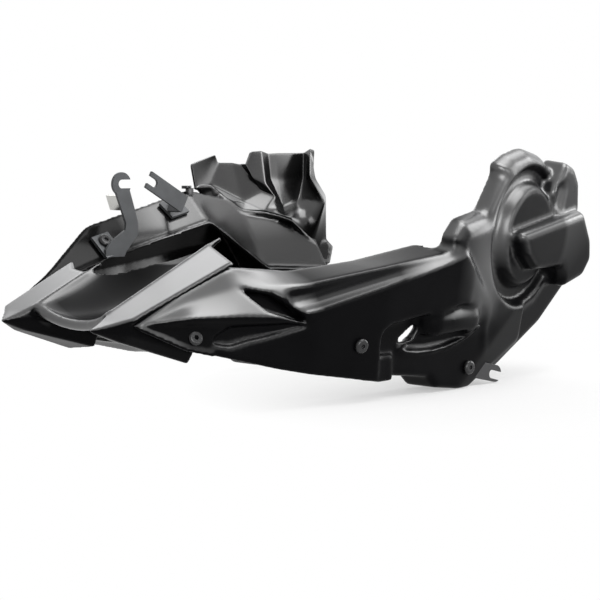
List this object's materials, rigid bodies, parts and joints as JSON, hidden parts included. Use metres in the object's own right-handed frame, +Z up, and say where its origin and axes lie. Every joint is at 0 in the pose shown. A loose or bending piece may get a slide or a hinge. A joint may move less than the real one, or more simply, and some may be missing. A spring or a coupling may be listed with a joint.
{
  "type": "motorcycle belly pan",
  "caption": "Moulded black lower fairing that wraps under an engine: two hollow side panels, a split pointed nose with a channel, a round cover on one tail, and slotted steel brackets.",
  "frame": {"origin": "middle of the pan, on the level of its lowest edge", "axes": "+X to the rear of the motorcycle, +Y to its right side, +Z up"},
  "size_m": [0.6116, 0.3537, 0.2331],
  "materials": {
    "moulded_black": "satin black moulding, smooth inside",
    "bracket_steel": "dark grey satin coat",
    "black_screw": "black oxide",
    "plated_nut": "zinc plated"
  },
  "bodies": {
    "root": {"fork_bracket": "bracket_steel", "fork_nut": "plated_nut", "fork_screw": "black_screw", "hook_bracket": "bracket_steel", "hook_nut": "plated_nut", "hook_screw": "black_screw", "left_front_screw": "black_screw", "left_middle_nut": "plated_nut", "left_middle_screw": "black_screw", "left_rear_bracket": "bracket_steel", "left_rear_nut": "plated_nut", "left_rear_screw": "black_screw", "left_side_panel": "moulded_black", "nose_panel": "moulded_black", "right_front_screw": "black_screw", "right_middle_nut": "plated_nut", "right_middle_screw": "black_screw", "right_rear_bracket": "bracket_steel", "right_rear_nut": "plated_nut", "right_rear_screw": "black_screw", "right_side_panel": "moulded_black"}
  },
  "joints": []
}
